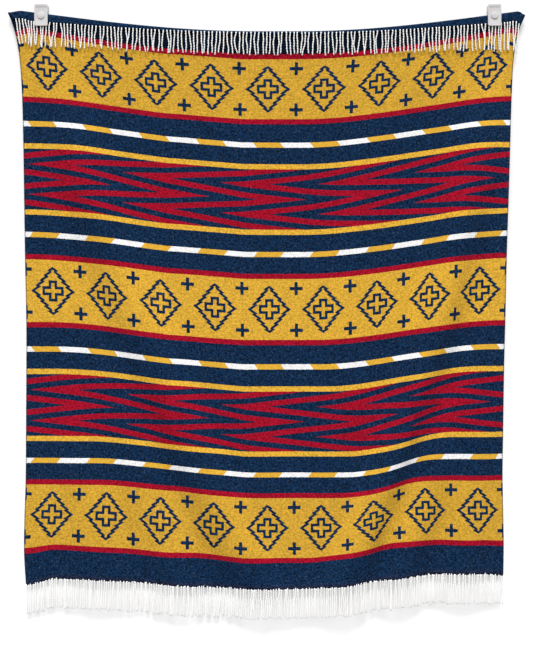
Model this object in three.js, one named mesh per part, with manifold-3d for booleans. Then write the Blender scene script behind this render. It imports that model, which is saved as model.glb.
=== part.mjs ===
// A woven wool blanket with a twisted fringe at both ends, hung from two wall clips.
// Millimetres, +Z up. The wall is the plane Y = 0 and the blanket hangs on its -Y side.
// The origin is on the wall, midway between the clips and at the height of their middles.

import * as THREE from 'three';
import { mergeVertices } from 'three/addons/utils/BufferGeometryUtils.js';
import Module from 'manifold-3d';

// Cloth as it is cut, without its fringes
const CLOTH_WIDTH = 1550;
const CLOTH_LENGTH = 1706;
const CLOTH_THICKNESS = 2.5;

// Top edge, turned over to the front as a flap that is deep at the clips and shallow in the middle
const FOLD_RADIUS = 3;
const FOLD_LENGTH = Math.PI * FOLD_RADIUS;
const FLAP_AT_MIDDLE = 2.5;
const FLAP_AT_CORNERS = 29;
const FLAP_LIFT_ENDS = 275;

// Hanging layer: its distance from the wall at the clips, and how the top corners flare outwards
const HANG_Y = -11.6;
const LEFT_FLARE = { size: 55, fade: 90 };
const RIGHT_FLARE = { size: 65, fade: 82 };

// Top corners: how far the flap's end is tucked inwards, how much shallower the flap gets there,
// and how far the corner droops over the last stretch of the edge
const LEFT_CORNER = { tuck: 18, flapCut: 13, droop: 10, droopReach: 40 };
const RIGHT_CORNER = { tuck: 12, flapCut: 3, droop: 14, droopReach: 22 };
const TUCK_REACH = 105;
const FLAP_CUT_REACH = 60;

// How the cloth lies a little to the right of an even spread, and is spread out most at the top
const COLUMN_SHIFT = 7;
const COLUMN_SPREAD = 9;
const COLUMN_SPREAD_ENDS = 700;

// Bottom corners, which drop below the rest of their edge
const CORNER_DROP_FROM = 1490;
const LEFT_DROP = { size: 19, out: 635, reach: 95 };
const RIGHT_DROP = { size: 6, out: 640, reach: 60 };

// Levels down the cloth, one row each: the distance from the top edge, where the two side edges
// hang, the height of the middle, and for each side how far it rises above the middle, where that
// rise is half made and how far it reaches to either side of there
const LEVEL_COLUMNS = ['down', 'leftEdge', 'rightEdge', 'height',
  'leftRise', 'leftMiddle', 'leftReach', 'rightRise', 'rightMiddle', 'rightReach'];
const LEVELS = [
  [12, -739, 730, -54, 120, -736, 696, 112, 730, 633],
  [275, -736, 729, -311, 70, -430, 370, 70, 447, 350],
  [742, -730, 715, -776, 60, -395, 345, 63, 425, 320],
  [940, -726, 711, -975, 54, -378, 285, 60, 425, 290],
  [1076, -726, 708, -1114, 53, -345, 290, 62, 412, 240],
  [1274, -727, 706, -1310, 47, -299, 265, 60, 402, 160],
  [1407, -728, 705, -1435, 41, -278, 260, 54, 361, 135],
  [1604, -733, 709, -1628, 39, -325, 350, 54, 290, 175],
  [1706, -727, 708, -1722, 28, -345, 290, 44, 322, 240],
];

// Soft folds that stand forward of the wall, one row each: the place across the flat cloth where
// the fold runs at the top, half way down and at the bottom, its half width, and its height
// half way down and at the bottom
const FOLDS = [
  [-740, -655, -540, 130, 3, 12],
  [-690, -440, -21, 140, 30, 24],
  [-640, -540, -290, 120, 4, 15],
  [0, -120, 100, 150, 8, 7],
  [380, 250, 130, 110, 6, 5],
  [700, 570, 250, 125, 46, 32],
  [740, 680, 430, 110, 4, 26],
  [770, 745, 640, 115, 18, 18],
].map(([atTop, atMiddle, atBottom, reach, middleHeight, bottomHeight]) => (
  { atTop, atMiddle, atBottom, reach, middleHeight, bottomHeight }));
const FOLDS_START = 90;
const FOLDS_FULL = 620;

// Grid of the cloth's solid: columns across, rows of the flap, of the turn and of the hanging layer
const COLUMNS = 56;
const FLAP_ROWS = 1;
const TURN_ROWS = 5;
const HANG_ROWS = 25;
const ROWS = FLAP_ROWS + TURN_ROWS + HANG_ROWS;
const WIDTH_STEPS = 60;

// Fringe: twisted strands that leave a narrow strip along each end of the cloth
const STRANDS = 134;
const STRIP_HEIGHT = 2.4;
const STRIP_GAP = 0.4;
const STRAND_ROOT = 1;
const STRAND_WIDTH = 4.4;
const ROOT_DEPTH = 2.1;
const TIP_DEPTH = 3.6;
const TOP_STRAND_LENGTH = 64;
const TOP_STRAND_EXTRA = { left: 14, right: 28 };
const BOTTOM_STRAND_LENGTH = 86;
const STRAND_LENGTH_SPREAD = 4;
const STRAND_LEAN = 2.6;

// Repeatable uneven draws for the strands: the steps between strands and between their qualities,
// the stretch of the wave that scatters them, and which draw is which quality
const DRAW_STRAND_STEP = 12.9898;
const DRAW_QUALITY_STEP = 78.233;
const DRAW_STRETCH = 43758.5453;
const LENGTH_DRAW = 1;
const LEAN_DRAW = 2;

// Clips: a plate on the wall, a block above the fold, a jaw in front and a round disc on the jaw
const CLIP_X = 680;
const CLIP_WIDTH = 40;
const CLIP_HEIGHT = 66;
const CLIP_CORNER = 5;
const CLIP_EDGE = 2.2;
const PLATE_DEPTH = 10;
const JAW_BACK = 19.2;
const JAW_DEPTH = 5.6;
const BLOCK_WIDTH = 34;
const BLOCK_BOTTOM = 11;
const BLOCK_TOP = 30;
const BLOCK_EDGE = 1.5;
const DISC_RADIUS = 10.5;
const DISC_DEPTH = 1.6;
const DISC_HEIGHT = -2;
const DISC_SIDES = 28;
const PIECE_GAP = 0.3;

const MERGE_DISTANCE = 1e-5;
const NORMAL_STEP = 0.5;

const wasm = await Module();
wasm.setup();

const woolNavy = { color: 0x1b3354, roughness: 0.95, metalness: 0 };
const yarnWhite = { color: 0xf1efec, roughness: 0.9, metalness: 0 };
const plasticWhite = { color: 0xe4e1e2, roughness: 0.4, metalness: 0 };

function smoothstep(value) {
  const inside = Math.min(Math.max(value, 0), 1);
  return inside * inside * (3 - 2 * inside);
}

// A repeatable spread between -1 and 1, for one strand and one of its qualities
function spread(strand, quality) {
  const turn = strand * DRAW_STRAND_STEP + quality * DRAW_QUALITY_STEP;
  const wave = Math.sin(turn) * DRAW_STRETCH;
  return 2 * (wave - Math.floor(wave)) - 1;
}

// Smooth curve through one column of the level table
function levelValue(name, down) {
  const column = LEVEL_COLUMNS.indexOf(name);
  const last = LEVELS.length - 1;
  let row = 0;
  while (row < last - 1 && LEVELS[row + 1][0] < down) row += 1;
  const slope = (index) => {
    const before = LEVELS[Math.max(index - 1, 0)];
    const after = LEVELS[Math.min(index + 1, last)];
    return (after[column] - before[column]) / (after[0] - before[0]);
  };
  const span = LEVELS[row + 1][0] - LEVELS[row][0];
  const t = (down - LEVELS[row][0]) / span;
  const from = LEVELS[row][column] * (1 + 2 * t) * (1 - t) ** 2;
  const to = LEVELS[row + 1][column] * (3 - 2 * t) * t ** 2;
  const leaving = slope(row) * span * t * (1 - t) ** 2;
  const arriving = slope(row + 1) * span * t ** 2 * (1 - t);
  return from + to + leaving - arriving;
}

// How far the folds stand forward of the hanging layer
function foldHeight(across, down) {
  const t = down / CLOTH_LENGTH;
  const top = (1 - t) * (1 - 2 * t);
  const middle = 4 * t * (1 - t);
  const bottom = t * (2 * t - 1);
  const grown = smoothstep((down - FOLDS_START) / (FOLDS_FULL - FOLDS_START));
  const lower = smoothstep(2 * t - 1);
  let height = 0;
  for (const fold of FOLDS) {
    const crest = top * fold.atTop + middle * fold.atMiddle + bottom * fold.atBottom;
    const off = Math.abs(across - crest) / fold.reach;
    if (off >= 1) continue;
    const tall = fold.middleHeight + lower * (fold.bottomHeight - fold.middleHeight);
    height += grown * tall * Math.cos(off * Math.PI / 2) ** 2;
  }
  return height;
}

// Width that the cloth takes up from its left edge, seen from the front
function seenWidth(across, down) {
  const step = (across + CLOTH_WIDTH / 2) / WIDTH_STEPS;
  let seen = 0;
  for (let index = 0; index < WIDTH_STEPS; index += 1) {
    const from = -CLOTH_WIDTH / 2 + index * step;
    const climb = foldHeight(from + step, down) - foldHeight(from, down);
    seen += Math.sqrt(Math.max(step * step - climb * climb, 0));
  }
  return seen;
}

function sideways(across, down) {
  const flare = ({ size, fade }) => size * Math.exp(-down / fade);
  const left = levelValue('leftEdge', down) - flare(LEFT_FLARE);
  const right = levelValue('rightEdge', down) + flare(RIGHT_FLARE);
  const share = seenWidth(across, down) / seenWidth(CLOTH_WIDTH / 2, down);
  const spreading = COLUMN_SPREAD * (1 - smoothstep(down / COLUMN_SPREAD_ENDS));
  const shift = COLUMN_SHIFT * Math.sin(Math.PI * share) - spreading * Math.sin(2 * Math.PI * share);
  return left + (right - left) * share + shift;
}

// A soft step that is 0 further in and 1 at the nearer side edge of the cloth
function nearSide(across, reach) {
  return smoothstep((Math.abs(across) - (CLOTH_WIDTH / 2 - reach)) / reach);
}

function cornerOf(across) {
  return across < 0 ? LEFT_CORNER : RIGHT_CORNER;
}

function flapDepth(across) {
  const out = across / (CLOTH_WIDTH / 2);
  const cut = cornerOf(across).flapCut * nearSide(across, FLAP_CUT_REACH);
  return FLAP_AT_MIDDLE + (FLAP_AT_CORNERS - FLAP_AT_MIDDLE) * out * out - cut;
}

// A point of the hanging layer's middle surface
function hangingPoint(across, down) {
  const x = sideways(across, down);
  const risen = (side, way) => {
    const width = levelValue(`${side}Reach`, down);
    const from = levelValue(`${side}Middle`, down) * way - width;
    return levelValue(`${side}Rise`, down) * smoothstep((x * way - from) / (2 * width));
  };
  const corner = cornerOf(across);
  const droop = corner.droop * nearSide(across, corner.droopReach);
  const flapLift = (flapDepth(across) - droop) * (1 - smoothstep(down / FLAP_LIFT_ENDS));
  const low = smoothstep((down - CORNER_DROP_FROM) / (CLOTH_LENGTH - CORNER_DROP_FROM));
  const { size, out, reach } = x < 0 ? LEFT_DROP : RIGHT_DROP;
  const drop = size * low * smoothstep((Math.abs(x) - out) / reach);
  const z = levelValue('height', down) + risen('left', -1) + risen('right', 1) + flapLift - drop;
  return new THREE.Vector3(x, HANG_Y - foldHeight(across, down), z);
}

// A point of the whole cloth's middle surface: the flap, the turn over its top, and what hangs
function clothPoint(across, down) {
  const flap = flapDepth(across);
  if (down >= flap + FOLD_LENGTH) return hangingPoint(across, down);
  const point = hangingPoint(across, flap + FOLD_LENGTH);
  const angle = Math.max(down - flap, 0) / FOLD_RADIUS;
  const hanging = Math.max(flap - down, 0);
  const tuck = cornerOf(across).tuck * nearSide(across, TUCK_REACH) * hanging / flap;
  point.x -= Math.sign(across) * tuck;
  point.y -= FOLD_RADIUS * (1 + Math.cos(angle));
  point.z += FOLD_RADIUS * Math.sin(angle) - hanging;
  return point;
}

// Distance down the cloth of a grid row, which follows the flap's depth
function rowDown(row, across) {
  const flap = flapDepth(across);
  if (row <= FLAP_ROWS) return flap * row / FLAP_ROWS;
  const turned = row - FLAP_ROWS;
  if (turned <= TURN_ROWS) return flap + FOLD_LENGTH * turned / TURN_ROWS;
  const start = flap + FOLD_LENGTH;
  return start + (CLOTH_LENGTH - start) * (turned - TURN_ROWS) / HANG_ROWS;
}

// The direction out of the cloth's reverse, which faces the wall where the cloth hangs
function clothNormal(across, down) {
  const edge = CLOTH_WIDTH / 2;
  const left = clothPoint(Math.max(across - NORMAL_STEP, -edge), down);
  const right = clothPoint(Math.min(across + NORMAL_STEP, edge), down);
  const above = clothPoint(across, Math.max(down - NORMAL_STEP, 0));
  const below = clothPoint(across, Math.min(down + NORMAL_STEP, CLOTH_LENGTH));
  return right.sub(left).cross(below.sub(above)).normalize();
}

// Moves every vertex of a geometry and merges those that meet
function bent(geometry, place) {
  geometry.deleteAttribute('normal');
  geometry.deleteAttribute('uv');
  const positions = geometry.getAttribute('position');
  for (let index = 0; index < positions.count; index += 1) {
    const point = place(new THREE.Vector3().fromBufferAttribute(positions, index));
    positions.setXYZ(index, point.x, point.y, point.z);
  }
  return mergeVertices(geometry, MERGE_DISTANCE);
}

function solid(geometry) {
  const vertProperties = new Float32Array(geometry.getAttribute('position').array);
  const triVerts = new Uint32Array(geometry.getIndex().array);
  return new wasm.Manifold(new wasm.Mesh({ numProp: 3, vertProperties, triVerts }));
}

function geometryOf(joined) {
  const { vertProperties, triVerts } = joined.getMesh();
  const geometry = new THREE.BufferGeometry();
  geometry.setAttribute('position', new THREE.BufferAttribute(vertProperties, 3));
  geometry.setIndex(new THREE.BufferAttribute(triVerts, 1));
  return geometry;
}

function clothGeometry() {
  const box = new THREE.BoxGeometry(1, 1, 1, COLUMNS, 1, ROWS);
  return bent(box, ({ x, y, z }) => {
    const across = x * CLOTH_WIDTH;
    const down = rowDown(Math.round((0.5 - z) * ROWS), across);
    const offset = clothNormal(across, down).multiplyScalar(y * CLOTH_THICKNESS);
    return clothPoint(across, down).add(offset);
  });
}

// Places along one end of the cloth, as straight stretches between the grid's columns
function endLine(down) {
  const points = [];
  for (let column = 0; column <= COLUMNS; column += 1) {
    points.push(clothPoint((column / COLUMNS - 0.5) * CLOTH_WIDTH, down));
  }
  return (share) => {
    const column = Math.min(Math.floor(share * COLUMNS), COLUMNS - 1);
    const [from, to] = [points[column], points[column + 1]];
    const along = to.clone().sub(from).setZ(0).normalize();
    const point = from.clone().lerp(to, share * COLUMNS - column);
    return { point, along, out: new THREE.Vector3(-along.y, along.x, 0) };
  };
}

// Length of a top strand, which grows from the middle of the cloth to its corners
function topStrandLength(out) {
  const extra = out < 0 ? TOP_STRAND_EXTRA.left : TOP_STRAND_EXTRA.right;
  return TOP_STRAND_LENGTH + extra * Math.abs(out) ** 3;
}

function bottomStrandLength() {
  return BOTTOM_STRAND_LENGTH;
}

// The strip along one end of the cloth, with its strands fused to its lower face
function fringeGeometry(down, strandLength) {
  const placeAt = endLine(down);
  const strip = new THREE.BoxGeometry(1, CLOTH_THICKNESS, STRIP_HEIGHT, COLUMNS, 1, 1);
  let fringe = solid(bent(strip, ({ x, y, z }) => {
    const { point, out } = placeAt(x + 0.5);
    point.z += z - STRIP_HEIGHT / 2 - STRIP_GAP;
    return point.addScaledVector(out, y);
  }));
  for (let strand = 0; strand < STRANDS; strand += 1) {
    const share = (strand + 0.5) / STRANDS;
    const { point, along, out } = placeAt(share);
    const uneven = STRAND_LENGTH_SPREAD * spread(strand, LENGTH_DRAW);
    const long = strandLength(2 * share - 1) + uneven + STRAND_ROOT;
    const lean = STRAND_LEAN * spread(strand, LEAN_DRAW);
    const top = point.z - STRIP_GAP - STRIP_HEIGHT + STRAND_ROOT;
    const box = new THREE.BoxGeometry(STRAND_WIDTH, 1, 1);
    fringe = fringe.add(solid(bent(box, ({ x, y, z }) => {
      const t = 0.5 - z;
      const depth = ROOT_DEPTH + (TIP_DEPTH - ROOT_DEPTH) * t;
      const place = point.clone().addScaledVector(along, x + lean * t).addScaledVector(out, y * depth);
      return place.setZ(top - long * t);
    })));
  }
  return geometryOf(fringe);
}

// A flat piece with round corners and eased edges, its back at y = 0 and its front towards -Y
function padGeometry(width, height, depth, corner, edge) {
  const [x, y] = [width / 2, height / 2];
  const outline = new THREE.Shape();
  outline.moveTo(corner - x, -y);
  outline.lineTo(x - corner, -y);
  outline.absarc(x - corner, corner - y, corner, -Math.PI / 2, 0);
  outline.absarc(x - corner, y - corner, corner, 0, Math.PI / 2);
  outline.absarc(corner - x, y - corner, corner, Math.PI / 2, Math.PI);
  outline.absarc(corner - x, corner - y, corner, Math.PI, 1.5 * Math.PI);
  const geometry = new THREE.ExtrudeGeometry(outline, {
    depth: depth - 2 * edge,
    curveSegments: 3,
    bevelEnabled: true,
    bevelThickness: edge,
    bevelSize: edge,
    bevelOffset: -edge,
    bevelSegments: 1,
  });
  geometry.translate(0, 0, edge);
  geometry.rotateX(Math.PI / 2);
  return geometry;
}

function piece(name, geometry, finish) {
  const mesh = new THREE.Mesh(geometry, new THREE.MeshStandardMaterial(finish));
  mesh.name = name;
  return mesh;
}

function clip(side) {
  const group = new THREE.Group();
  const plate = padGeometry(CLIP_WIDTH, CLIP_HEIGHT, PLATE_DEPTH, CLIP_CORNER, CLIP_EDGE);
  group.add(piece(`${side}_clip_plate`, plate, plasticWhite));

  const blockDepth = JAW_BACK - PLATE_DEPTH - 2 * PIECE_GAP;
  const blockHeight = BLOCK_TOP - BLOCK_BOTTOM;
  const blockShape = padGeometry(BLOCK_WIDTH, blockHeight, blockDepth, CLIP_CORNER, BLOCK_EDGE);
  const block = piece(`${side}_clip_block`, blockShape, plasticWhite);
  block.position.set(0, -PLATE_DEPTH - PIECE_GAP, (BLOCK_TOP + BLOCK_BOTTOM) / 2);
  group.add(block);

  const jawShape = padGeometry(CLIP_WIDTH, CLIP_HEIGHT, JAW_DEPTH, CLIP_CORNER, CLIP_EDGE);
  const jaw = piece(`${side}_clip_jaw`, jawShape, plasticWhite);
  jaw.position.y = -JAW_BACK;
  group.add(jaw);

  const discShape = new THREE.CylinderGeometry(DISC_RADIUS, DISC_RADIUS, DISC_DEPTH, DISC_SIDES);
  const disc = piece(`${side}_clip_disc`, discShape, plasticWhite);
  disc.position.set(0, -JAW_BACK - JAW_DEPTH - PIECE_GAP - DISC_DEPTH / 2, DISC_HEIGHT);
  group.add(disc);
  return group;
}

const hanging = new THREE.Group();
hanging.add(piece('blanket', clothGeometry(), woolNavy));
hanging.add(piece('top_fringe', fringeGeometry(0, topStrandLength), yarnWhite));
hanging.add(piece('bottom_fringe', fringeGeometry(CLOTH_LENGTH, bottomStrandLength), yarnWhite));

for (const [side, way] of [['left', -1], ['right', 1]]) {
  const holder = clip(side);
  holder.position.x = way * CLIP_X;
  hanging.add(holder);
}

export default hanging;
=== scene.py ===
"""A woven wool blanket with twisted fringes, hung from two wall clips on a pale stage."""

import math
from typing import NamedTuple

import bpy
import numpy as np
from bpy.props import FloatProperty, FloatVectorProperty, IntProperty, PointerProperty
from bpy.types import Operator, Panel, PropertyGroup
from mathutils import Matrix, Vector


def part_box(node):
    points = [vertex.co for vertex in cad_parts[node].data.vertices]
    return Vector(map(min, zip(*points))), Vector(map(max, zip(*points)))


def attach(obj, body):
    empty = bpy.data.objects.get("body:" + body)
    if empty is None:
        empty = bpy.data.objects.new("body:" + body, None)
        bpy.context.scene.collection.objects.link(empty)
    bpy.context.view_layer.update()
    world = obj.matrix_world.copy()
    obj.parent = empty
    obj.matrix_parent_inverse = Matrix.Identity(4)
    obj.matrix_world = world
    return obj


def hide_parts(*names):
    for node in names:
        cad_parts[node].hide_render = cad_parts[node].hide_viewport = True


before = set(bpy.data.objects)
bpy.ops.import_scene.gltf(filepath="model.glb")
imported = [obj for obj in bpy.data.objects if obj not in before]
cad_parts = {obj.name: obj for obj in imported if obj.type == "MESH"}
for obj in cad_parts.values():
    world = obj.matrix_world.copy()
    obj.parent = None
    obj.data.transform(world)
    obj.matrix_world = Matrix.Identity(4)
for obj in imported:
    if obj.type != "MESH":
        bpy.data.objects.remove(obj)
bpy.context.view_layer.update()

bl_info = {
    "name": "Hanging wool blanket",
    "version": (1, 0, 0),
    "blender": (4, 5, 0),
    "location": "View3D > Sidebar > Blanket",
    "description": "Weaves a fringed wool blanket, hangs it from two clips and sets a pale stage",
    "category": "Add Mesh",
}

MM = 0.001
BODY = "root"

# Hanging shape in millimetres, the same as the solid's. Top edge, turned over to the front
FOLD_RADIUS = 3.0
FOLD_LENGTH = math.pi * FOLD_RADIUS
FLAP_AT_MIDDLE = 2.5
FLAP_AT_CORNERS = 29.0
FLAP_LIFT_ENDS = 275.0

# Distance of the hanging layer from the wall, and the flare of the top corners: size and fade
HANG_Y = -11.6
LEFT_FLARE = (55.0, 90.0)
RIGHT_FLARE = (65.0, 82.0)

# Top corners, left and right: how far the flap's end is tucked inwards, how much shallower the flap
# gets there, and how far the corner droops over the last stretch of the edge
TUCK = (18.0, 12.0)
FLAP_CUT = (13.0, 3.0)
DROOP = (10.0, 14.0)
DROOP_REACH = (40.0, 22.0)
TUCK_REACH = 105.0
FLAP_CUT_REACH = 60.0

# How the cloth lies a little to the right of an even spread, least of all at the top, and is spread
# out most at the top
COLUMN_SHIFT = 7.0
COLUMN_SHIFT_AT_TOP = 3.0
COLUMN_SPREAD = 9.0
COLUMN_SPREAD_ENDS = 700.0

# Bottom corners, left and right, which drop below the rest of their edge
CORNER_DROP_FROM = 1490.0
CORNER_DROP = (19.0, 6.0)
CORNER_DROP_OUT = (635.0, 640.0)
CORNER_DROP_REACH = (95.0, 60.0)

# Levels down the cloth: the distance from the top edge, where the side edges hang, the height of
# the middle, and for each side how far it rises, where that is half made and how far it reaches
LEVEL_COLUMNS = ("down", "left_edge", "right_edge", "height",
                 "left_rise", "left_middle", "left_reach",
                 "right_rise", "right_middle", "right_reach")
LEVELS = np.array([
    (12, -739, 730, -54, 120, -736, 696, 112, 730, 633),
    (275, -736, 729, -311, 70, -430, 370, 70, 447, 350),
    (742, -730, 715, -776, 60, -395, 345, 63, 425, 320),
    (940, -726, 711, -975, 54, -378, 285, 60, 425, 290),
    (1076, -726, 708, -1114, 53, -345, 290, 62, 412, 240),
    (1274, -727, 706, -1310, 47, -299, 265, 60, 402, 160),
    (1407, -728, 705, -1435, 41, -278, 260, 54, 361, 135),
    (1604, -733, 709, -1628, 39, -325, 350, 54, 290, 175),
    (1706, -727, 708, -1722, 28, -345, 290, 44, 322, 240),
], float)

# Soft folds: the place of the crest at the top, half way down and at the bottom, the half width,
# and the height half way down and at the bottom
FOLDS = (
    (-740, -655, -540, 130, 3, 12),
    (-690, -440, -21, 140, 30, 24),
    (-640, -540, -290, 120, 4, 15),
    (0, -120, 100, 150, 8, 7),
    (380, 250, 130, 110, 6, 5),
    (700, 570, 250, 125, 46, 32),
    (740, 680, 430, 110, 4, 26),
    (770, 745, 640, 115, 18, 18),
)
FOLDS_START = 90.0
FOLDS_FULL = 620.0

# Grid of the cloth
COLUMNS = 200
FLAP_ROWS = 4
TURN_ROWS = 8
HANG_ROWS = 216
ROWS = FLAP_ROWS + TURN_ROWS + HANG_ROWS
WIDTH_STEPS = 60
FLAT_MAP = "flat"

# Woven bands in millimetres: the border above them, then a repeat that is woven twice and closed
# by one more band of diamonds
TOP_BORDER = 78.0
STRIPE = 15.5
BAND = 182.0
REPEAT = 664.5
DIAMONDS_START = STRIPE
DIAMONDS_END = STRIPE + BAND
UPPER_DASHES_AT = 268.5
UPPER_GOLD_AT = 334.0
ZIGZAG_AT = UPPER_GOLD_AT + STRIPE
LOWER_GOLD_AT = ZIGZAG_AT + BAND
LOWER_DASHES_AT = 598.5
WOVEN_LENGTH = 2 * REPEAT + BAND + 2 * STRIPE

# Diamonds: nine across, each with a toothed outline and an outlined cross inside, with small
# crosses between them. The space inside the outline runs to a point at the tip. A cross is given by
# half its width, half its height and half the width of its arms
DIAMONDS = 9
DIAMOND_HALF_HEIGHT = 71.0
DIAMOND_HALF_WIDTH = 69.2
DIAMOND_SLOPE = 0.86
DIAMOND_LINE = 13.4
DIAMOND_TIP = 63.0
DIAMOND_TIP_SLOPE = 0.5
TOOTH_FIRST = 15.6
TOOTH_PITCH = 14.7
TOOTH_STEP = 8.0
TOOTH_TURN = 0.8
INNER_CROSS = (33.5, 31.0, 13.4)
INNER_CROSS_LINE = 8.2
SMALL_CROSS_FROM_MIDDLE = 62.4
SMALL_CROSS = (20.6, 19.6, 5.1)

# A stretch left of the middle where the rows are beaten up a little higher: place, reach and height
RAISED_AT = -200.0
RAISED_REACH = 120.0
RAISED_HEIGHT = 3.6

# Dashes and zigzag
DASH_PERIOD = 178.0
DASH_GOLD = 0.475
DASH_LEAN = 0.76
ZIGZAG_PERIOD = 306.0
ZIGZAG_REACH = 425.0

# Grain of the wool: how fine each kind of noise is, by the millimetre, the streaks along and across
# the weft, and the layer of noise that each kind reads
FUZZ_SCALE = 0.22
FLECK_SCALE = 0.17
LINT_SCALE = 0.23
CLOUD_SCALE = 0.012
STREAK_SCALE = (0.06, 0.34)
FLECK_LAYER = 7.0
LINT_LAYER = 11.0
CLOUD_LAYER = 3.0

# How far fuzz and streaks move the edges of the woven marks, and how much of the lint shows
THREAD_FUZZ = 3.0
PICK_FUZZ = 2.2
PICK_STREAK = 1.2
LINT_FROM = 0.10
LINT_GAIN = 2.2

# How far the flecks of the heathered yarns depart from their colour, the pitch of the weft, and the
# share of streaks, clouds and ribs of weft in the colour
HEATHER_NAVY = 4.1
HEATHER_BRIGHT = 1.5
HEATHER_RED = 2.4
HEATHER_PALE = 0.8
HEATHER_DARKEST = 0.2
WEFT_PITCH = 5.2
STREAK_TONE = 0.22
CLOUD_TONE = 0.16
RIB_TONE = 0.04

# The felted nap: the share of streaks and weft in its height, its strength and its depth in metres
NAP_STREAK = 0.5
NAP_WEFT = 0.12
NAP_STRENGTH = 0.35
NAP_DEPTH = 0.0012

# Painted light and shade: the middle band of diamonds is painted brighter than the others, as light
# falling more strongly there, and the border behind the fringe is painted darker, as the shade of the
# flap and the strands
MIDDLE_BAND_PAINTED_LIGHT = 0.11
BORDER_PAINTED_SHADE = 0.74
BORDER_PAINTED_SHADE_FADE = 6.0

# Edges of the cloth: the selvedge's overcast stitches and the soft row of stitches above the hem
SELVEDGE_WIDTH = 3.2
SELVEDGE_FUZZ = 3.0
SELVEDGE_STITCH = 7.0
SELVEDGE_COVER = 0.6
SELVEDGE_COVER_CHANGE = 0.35
HEM_HEIGHT = 18.0
HEM_FUZZ = 16.0
HEM_SOFTNESS = 20.0
HEM_STITCH = 8.0
HEM_STITCH_HEIGHT = 2.0
HEM_COVER = 0.8

# Fringe yarn: the grain of its fibres by the metre, its tone, and how far that changes from strand to
# strand, from fibre to fibre and towards the tip
FIBRE_SCALE = 900.0
YARN_TONE = 0.95
YARN_TONE_CHANGE = 0.08
FIBRE_TONE = 0.10
TIP_TONE = 0.02

# Clip plastic: how fine its grain and its clouds are by the metre, and their share in the colour
PLASTIC_GRAIN_SCALE = 700.0
PLASTIC_CLOUD_SCALE = 45.0
PLASTIC_GRAIN_TONE = 0.05
PLASTIC_CLOUD_TONE = 0.10

# Fringe strands. Below their roots they settle to an even spacing and fill out
SEED = 21
STRAND_SIDES = 6
STRAND_RINGS = 20
PLIES = 2
FULL_FROM = 0.26
FULL_OVER = 0.14
TIP_START = 0.985
TIP_WIDTH = 0.5
STRAND_MAP = "strand"

# Waves along a strand, and the size of its ripples and of its waves forward as shares of its sway
SWAY_WAVES = 0.9
RIPPLE_WAVES = 2.3
RIPPLE_SHARE = 0.35
FORWARD_WAVES = 1.3
FORWARD_SHARE = 0.3
TIP_SWAY_POWER = 1.6

# Strands lie flat against the cloth at their roots and are round further down
ROOT_FLATNESS = 0.42
ROUND_FROM = 0.25
ROUND_OVER = 0.5

# Roots in millimetres: how far they stand in front of the cloth, and how far settled strands are from
# an even spacing. Strand lengths differ by this many metres either way
ROOTS_FORWARD = 2.2
SETTLED_GATHER = 1.2
BESIDE = 2.0
LENGTH_CHANGE = 0.004

# Clip mouldings in metres: rounding of corners and edges, insets with their thickness and depth
CORNER_SEGMENTS = 6
EDGE_SEGMENTS = 3
SMOOTH_ANGLE = math.radians(40)
STRAIGHT = 0.99
PLATE_BACK_INSET = (0.005, -0.001)
PLATE_FRONT_INSET = (0.004, -0.0004)
BLOCK_CORNER = 0.003
BLOCK_EDGE = 0.0008
BLOCK_INSET = (0.0025, -0.0005)

# Disc and grip ribs on a jaw, the ribs' ends measured from its top and their faces from its front
DISC_SIDES = 48
DISC_SUNK = 0.0004
GRIP_RIBS = 5
RIB_PITCH = 0.0066
RIB_HALF_WIDTH = 0.0021
RIB_TOP = 0.0018
RIB_BOTTOM = 0.0095
RIB_PROUD = 0.0006
RIB_SUNK = 0.0018
RIB_CORNER = 0.0014
RIB_EDGE = 0.0003

# Stage in metres
SENSOR_WIDTH_MM = 36
CLOTH_FRONT = -0.02
WALL_SIZE = 12
WALL_BEHIND = 0.0006
WALL_HEIGHT = -1
FLOOR_SIZE = 24
FLOOR_HEIGHT = -2.6


class FringeEnd(NamedTuple):
    """How the strands of one fringe hang

    The sway and the tips' sway are in metres. The fullness is the strands' width at the root and lower
    down, and the lift ends at a share of the half width. The rest is in millimetres: how unevenly the
    roots are gathered, how far they start above the cloth's end, and for the left and the right end
    how far the tips lean inwards, from how far in, and how much longer the strands are.
    """

    piece: str
    node: str
    sway: float
    tip_sway: float
    fullness: tuple
    gather: float
    lifts: tuple
    lift_ends: float
    lean: tuple
    lean_reach: tuple
    extra: tuple


UPPER_END = FringeEnd(
    piece="upper_fringe", node="top_fringe", sway=0.0012, tip_sway=0.0032, fullness=(0.97, 1.0),
    gather=1.2, lifts=(3.4, 4.8), lift_ends=0.75,
    lean=(13.0, 8.0), lean_reach=(85.0, 30.0), extra=(14.0, 28.0))
LOWER_END = FringeEnd(
    piece="lower_fringe", node="bottom_fringe", sway=0.0008, tip_sway=0.0016, fullness=(0.84, 1.16),
    gather=3.5, lifts=(0.0, 5.0), lift_ends=4.0,
    lean=(0.0, 0.0), lean_reach=(1.0, 1.0), extra=(0.0, 0.0))


class Strands(NamedTuple):
    """Where the strands of a fringe start and how they hang, in metres, a row for each strand"""

    roots: np.ndarray
    directions: np.ndarray
    lengths: np.ndarray
    leans: np.ndarray
    spacing: np.ndarray


def length_property(name, description, default):
    """A length that a user may change, in metres."""
    return FloatProperty(name=name, description=description, default=default, unit="LENGTH")


def colour_property(name, description, default):
    """A colour that a user may change."""
    return FloatVectorProperty(
        name=name, description=description, default=default, subtype="COLOR", min=0, max=1)


class ClothSizes(PropertyGroup):
    """Sizes to which the cloth is cut"""

    width: length_property("Width", "Width between the selvedges", 1.55)
    length: length_property("Length", "Length without the fringes", 1.706)
    thickness: length_property("Thickness", "Thickness of the felted cloth", 0.0025)


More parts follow.
